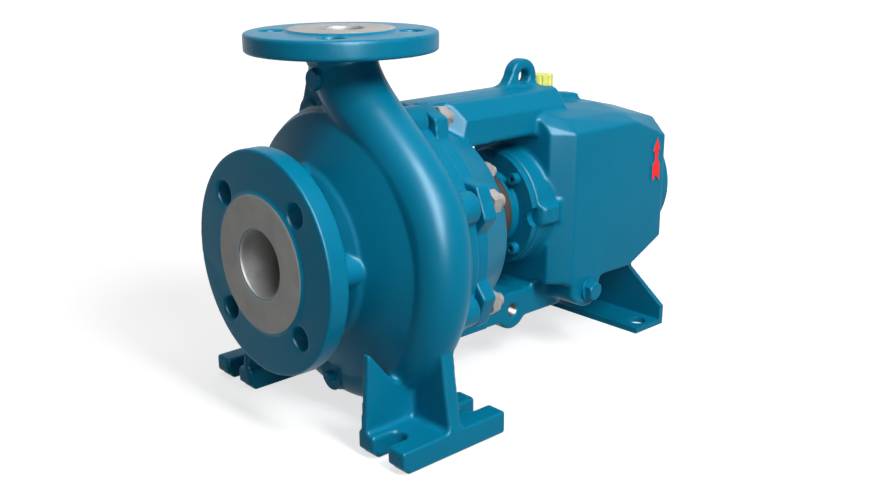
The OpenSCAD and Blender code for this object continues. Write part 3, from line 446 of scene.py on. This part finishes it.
# The spiral tube's own sizes: base circle, throat, wall and flattening, then the neck's Bezier curve
TUBE_BASE_R = 88.0
TUBE_THROAT_R = 16.0
TUBE_WALL = 8.0
TUBE_FLAT = 0.94
TUBE_START = 18.0
NECK_START = 286.0
NECK_PULL = 45.0
NECK_TOP_Z = 146.0
NECK_TOP_R = 26.0
TUBE_RINGS = 260
SPIRAL_SHARE = 0.75
TUBE_SIDES = 96
TUBE_TURN = (-205.0, 25.0)
SHELL = 2.5
INNER_SWELL = 0.4


def scroll_r(angle):
    return TUBE_THROAT_R * math.sqrt(max(angle, 8.0) / 300.0)


def spiral_point(angle):
    reach = TUBE_BASE_R + scroll_r(angle)
    a = math.radians(angle)
    return np.array([reach * math.sin(a), reach * math.cos(a)])


def tube_path():
    """Centres (y, z above the shaft) and outer radii along the spiral and the neck."""
    spiral = round(TUBE_RINGS * SPIRAL_SHARE)
    angles = np.linspace(TUBE_START, NECK_START, spiral)
    centres = [spiral_point(a) for a in angles]
    radii = [scroll_r(a) + TUBE_WALL for a in angles]
    start = spiral_point(NECK_START)
    way = spiral_point(NECK_START + 1) - spiral_point(NECK_START - 1)
    way = way / np.linalg.norm(way)
    end = np.array([0.0, NECK_TOP_Z])
    knots = (start, start + NECK_PULL * way, end - np.array([0.0, NECK_PULL]), end)
    for t in np.linspace(0.0, 1.0, TUBE_RINGS - spiral + 1)[1:]:
        weights = ((1 - t) ** 3, 3 * (1 - t) ** 2 * t, 3 * (1 - t) * t ** 2, t ** 3)
        centres.append(sum(w * k for w, k in zip(weights, knots)))
        radii.append((scroll_r(NECK_START) + TUBE_WALL) * (1 - t) + NECK_TOP_R * t)
    return np.array(centres), np.array(radii)


def round_tube():
    """A thin shell on the outside of the spiral tube, with finer rings than the solid it covers."""
    centres, radii = tube_path()
    ways = np.gradient(centres, axis=0)
    ways /= np.linalg.norm(ways, axis=1)[:, None]
    turn = np.radians(np.linspace(*TUBE_TURN, TUBE_SIDES))
    inward = np.clip(np.sin(turn), 0.0, 1.0) + 0.3 * (np.abs(np.sin(turn)) < 0.3)
    inward = np.clip(inward, 0.0, 1.0)
    points = []
    for skin in (0.0, -SHELL):
        for (cy, cz), r, (wy, wz) in zip(centres, radii, ways):
            reach = r + skin + INNER_SWELL * inward
            x = TUBE_FLAT * np.cos(turn) * reach
            y = cy + reach * np.sin(turn) * wz
            z = SHAFT_H + cz - reach * np.sin(turn) * wy
            points.append(np.stack([x, y, z], axis=1))
    rings, sides = len(centres), len(turn)
    points = np.concatenate(points)
    grid = np.arange(2 * rings * sides).reshape(2, rings, sides)
    outer, inner = grid[0], grid[1]

    def strip(a, b):
        return np.stack([a[:-1], a[1:], b[1:], b[:-1]], axis=-1).reshape(-1, 4)

    quads = [
        np.stack([outer[:-1, :-1], outer[1:, :-1], outer[1:, 1:], outer[:-1, 1:]], axis=-1).reshape(-1, 4),
        np.stack([inner[:-1, :-1], inner[:-1, 1:], inner[1:, 1:], inner[1:, :-1]], axis=-1).reshape(-1, 4),
        strip(outer[:, 0], inner[:, 0])[:, ::-1],
        strip(outer[:, -1], inner[:, -1]),
        strip(outer[0], inner[0]),
        strip(outer[-1], inner[-1])[:, ::-1],
    ]
    quads = np.concatenate(quads)
    return points, np.concatenate([quads[:, [0, 1, 2]], quads[:, [0, 2, 3]]])


def joined(*surfaces):
    """Several triangle surfaces as one list of points and triangles."""
    points, faces, count = [], [], 0
    for some_points, some_faces in surfaces:
        points.append(some_points)
        faces.append(some_faces + count)
        count += len(some_points)
    return np.concatenate(points), np.concatenate(faces)


def volute_casing():
    points, faces = node_surface("volute_casing")
    feet = cast_surface("volute_casing_feet", points, faces, FOOT_HOLLOW_R, FOOT_EDGE_R)
    points, faces = joined((points, faces), round_tube())
    casing = cast_surface("volute_casing_cast", points, faces, CASING_HOLLOW_R, CASING_EDGE_R)
    zone = block("zone", (-150, -200, -50), (150, -FOOT_ZONE_Y, FOOT_ZONE_Z))
    combine(zone, block("zone_right", (-150, FOOT_ZONE_Y, -50), (150, 200, FOOT_ZONE_Z)), "UNION")
    combine(feet, copy_of(zone), "INTERSECT")
    combine(casing, zone, "DIFFERENCE")
    combine(casing, feet, "UNION")
    slim(casing)
    casing.data.materials.clear()
    casing.data.materials.append(CASING_PAINT)
    shade(casing)
    finish_piece(casing, "pump_body", "blue_paint", "volute_casing")


# The bearing frame

def bearing_frame():
    points, faces = node_surface("bearing_frame")
    casting = cast_surface("bearing_frame_cast", points, faces, FRAME_HOLLOW_R, FRAME_EDGE_R)
    drum = cast_surface("bearing_frame_drum", points, faces, DRUM_HOLLOW_R, CASING_EDGE_R)
    combine(casting, block("back_half", (FRAME_SEAM_X, -300, -50), (500, 300, 400)), "INTERSECT")
    combine(drum, block("front_half", (-50, -300, -50), (FRAME_SEAM_X + SEAM_OVERLAP, 300, 400)), "INTERSECT")
    combine(casting, drum, "UNION")
    slim(casting)
    casting.data.materials.clear()
    casting.data.materials.append(PAINT)
    shade(casting)
    finish_piece(casting, "pump_body", "blue_paint", "bearing_frame")


def direction_arrow():
    """A plain raised arrow on the side of the bearing box that shows which way the shaft turns."""
    x = ARROW_X
    tip = ARROW_TIP_Z
    half = [(5.3, 13.0), (2.2, 12.0), (2.2, 21.5), (5.2, 24.5), (5.2, 39.5)]
    left = [(x - across, tip - down) for across, down in half]
    right = [(x + across, tip - down) for across, down in reversed(half)]
    outline = [(x, tip)] + left + [(x, tip - 34.5)] + right
    mesh = bpy.data.meshes.new("direction_arrow")
    net = bmesh.new()
    front = net.faces.new([net.verts.new(Vector((a, BOX_SIDE_Y - ARROW_HEIGHT, b)) * MM) for a, b in outline])
    made = bmesh.ops.extrude_face_region(net, geom=[front])
    for vert in made["geom"]:
        if isinstance(vert, bmesh.types.BMVert):
            vert.co.y = (BOX_SIDE_Y + 0.5) * MM
    bmesh.ops.recalc_face_normals(net, faces=net.faces)
    net.to_mesh(mesh)
    net.free()
    arrow = add_object("direction_arrow", mesh)
    paint_faces(arrow, (PAINT, RED), lambda centre, normal: 1 if normal.y < -0.5 else 0)
    finish_piece(arrow, "pump_body", "blue_paint")


def side_hole_thread():
    """The thread in the hole of the lower beam's lobe: fine ridges round the bore."""
    pitch = 1.5
    depth = 0.75
    start = SIDE_HOLE_Y + 1.0
    wall = SIDE_HOLE_R + 0.02
    outline = []
    station = start
    while station < SIDE_HOLE_Y + 17.0:
        outline += [(station, wall), (station + pitch / 2, SIDE_HOLE_R - depth)]
        station += pitch
    outline += [(station, wall), (station, SIDE_HOLE_R + 0.3), (start, SIDE_HOLE_R + 0.3)]
    thread = turned("side_hole_thread", outline, THREAD_SIDES)
    turn = Matrix.Rotation(math.radians(90.0), 4, "Z")
    thread.data.transform(turn)
    thread.data.transform(Matrix.Translation(Vector((SIDE_HOLE_X, 0.0, SIDE_HOLE_Z)) * MM))
    # The thread's near-black colour is painted shade of the deep hole
    thread.data.materials.append(THREAD_STEEL_WITH_PAINTED_SHADE)
    shade(thread, 20.0)
    finish_piece(thread, "pump_body", "steel")


volute_casing()
bearing_frame()
direction_arrow()
side_hole_thread()

# The other nodes keep their own shape
for name, piece in frame["nodes"].items():
    slot_name = next(s["material_slot"] for s in frame["record"]["subparts"] if s["node"] == name)
    piece.data.materials.clear()
    piece.data.materials.append(SLOT_MATERIALS[slot_name])
    shade(piece, 30.0)


# Floor, light and camera

def camera_axes(azimuth, elevation, roll):
    """The camera's right, up and back directions. Azimuth 0 looks along +Y."""
    a = math.radians(azimuth)
    e = math.radians(elevation)
    r = math.radians(roll)
    back = Vector((math.sin(a) * math.cos(e), -math.cos(a) * math.cos(e), math.sin(e)))
    level = Vector((math.cos(a), math.sin(a), 0.0))
    upward = back.cross(level)
    right = level * math.cos(r) + upward * math.sin(r)
    up = upward * math.cos(r) - level * math.sin(r)
    return right, up, back


def photo_camera():
    right, up, back = camera_axes(CAMERA_AZIMUTH, CAMERA_ELEVATION, CAMERA_ROLL)
    aim = Vector((0.0, 0.0, SHAFT_H)) + right * CAMERA_RIGHT + up * CAMERA_UP
    place = aim + back * CAMERA_DISTANCE
    data = bpy.data.cameras.new("camera")
    data.sensor_width = SENSOR_WIDTH
    data.lens = SENSOR_WIDTH * FOCAL_PIXELS / PICTURE_PIXELS
    data.clip_start = 0.05
    camera = bpy.data.objects.new("camera", data)
    bpy.context.scene.collection.objects.link(camera)
    turn = Matrix((right, up, back)).transposed().to_4x4()
    camera.matrix_world = Matrix.Translation(place * MM) @ turn
    bpy.context.scene.camera = camera


def area_light(name, azimuth, elevation, width, height, power):
    """A flat lamp that looks at the pump. Its direction follows the camera's angles."""
    back = camera_axes(azimuth, elevation, 0.0)[2]
    data = bpy.data.lights.new(name, "AREA")
    data.shape = "RECTANGLE"
    data.size = width * MM
    data.size_y = height * MM
    data.energy = power
    lamp = bpy.data.objects.new(name, data)
    bpy.context.scene.collection.objects.link(lamp)
    lamp.location = (Vector(LAMP_TARGET) + back * LAMP_DISTANCE) * MM
    lamp.rotation_euler = back.to_track_quat("Z", "Y").to_euler()
    return lamp


def seen_rays(nodes, links):
    """1 for the rays that show the background: straight, mirrored or through glass."""
    rays = nodes.new("ShaderNodeLightPath")
    value = rays.outputs["Is Camera Ray"]
    for kind in ("Is Glossy Ray", "Is Transmission Ray"):
        value = calculate(nodes, links, "MAXIMUM", value, rays.outputs[kind])
    return value


def white_world(strength):
    world = bpy.data.worlds.new("studio")
    bpy.context.scene.world = world
    world.use_nodes = True
    nodes = world.node_tree.nodes
    links = world.node_tree.links
    background = nodes["Background"]
    background.inputs["Color"].default_value = (1.0, 1.0, 1.0, 1.0)
    level = nodes.new("ShaderNodeMapRange")
    level.inputs["To Min"].default_value = strength
    level.inputs["To Max"].default_value = 1.0
    links.new(seen_rays(nodes, links), level.inputs["Value"])
    links.new(level.outputs["Result"], background.inputs["Strength"])


def floor():
    """A white floor that keeps a faint shadow."""
    half = 6000.0
    corners = [(-half, -half, 0.0), (half, -half, 0.0), (half, half, 0.0), (-half, half, 0.0)]
    plane = add_object("floor", mesh_from("floor", corners, [(0, 1, 2, 3)]))
    plane.location.z = -0.2 * MM
    material, nodes, links, shader = new_material("floor")
    shader.inputs["Base Color"].default_value = (0.4, 0.4, 0.4, 1.0)
    shader.inputs["Roughness"].default_value = 0.9
    shader.inputs["Specular IOR Level"].default_value = 0.0
    glow = nodes.new("ShaderNodeEmission")
    links.new(seen_rays(nodes, links), glow.inputs["Strength"])
    place = nodes.new("ShaderNodeTexCoord")
    reach = nodes.new("ShaderNodeVectorMath")
    reach.operation = "LENGTH"
    links.new(place.outputs["Object"], reach.inputs[0])
    fade = nodes.new("ShaderNodeValToRGB")
    fade.color_ramp.elements[0].position = 0.35
    fade.color_ramp.elements[0].color = (0.70, 0.70, 0.70, 1.0)
    fade.color_ramp.elements[1].position = 0.9
    fade.color_ramp.elements[1].color = (1.0, 1.0, 1.0, 1.0)
    links.new(reach.outputs["Value"], fade.inputs["Fac"])
    links.new(fade.outputs["Color"], glow.inputs["Color"])
    both = nodes.new("ShaderNodeAddShader")
    links.new(shader.outputs["BSDF"], both.inputs[0])
    links.new(glow.outputs["Emission"], both.inputs[1])
    links.new(both.outputs["Shader"], nodes["Material Output"].inputs["Surface"])
    plane.data.materials.append(material)


photo_camera()
floor()
white_world(0.15)
area_light("key", -8.0, 42.0, 260.0, 640.0, 22.5)
area_light("top", -40.0, 78.0, 900.0, 900.0, 9.0)
# A tall softbox that only shows as the long highlight on the paint
softbox = area_light("softbox", -30.0, 36.0, 480.0, 1900.0, 360.0)
softbox.visible_diffuse = False
bpy.context.scene.view_settings.view_transform = "Standard"
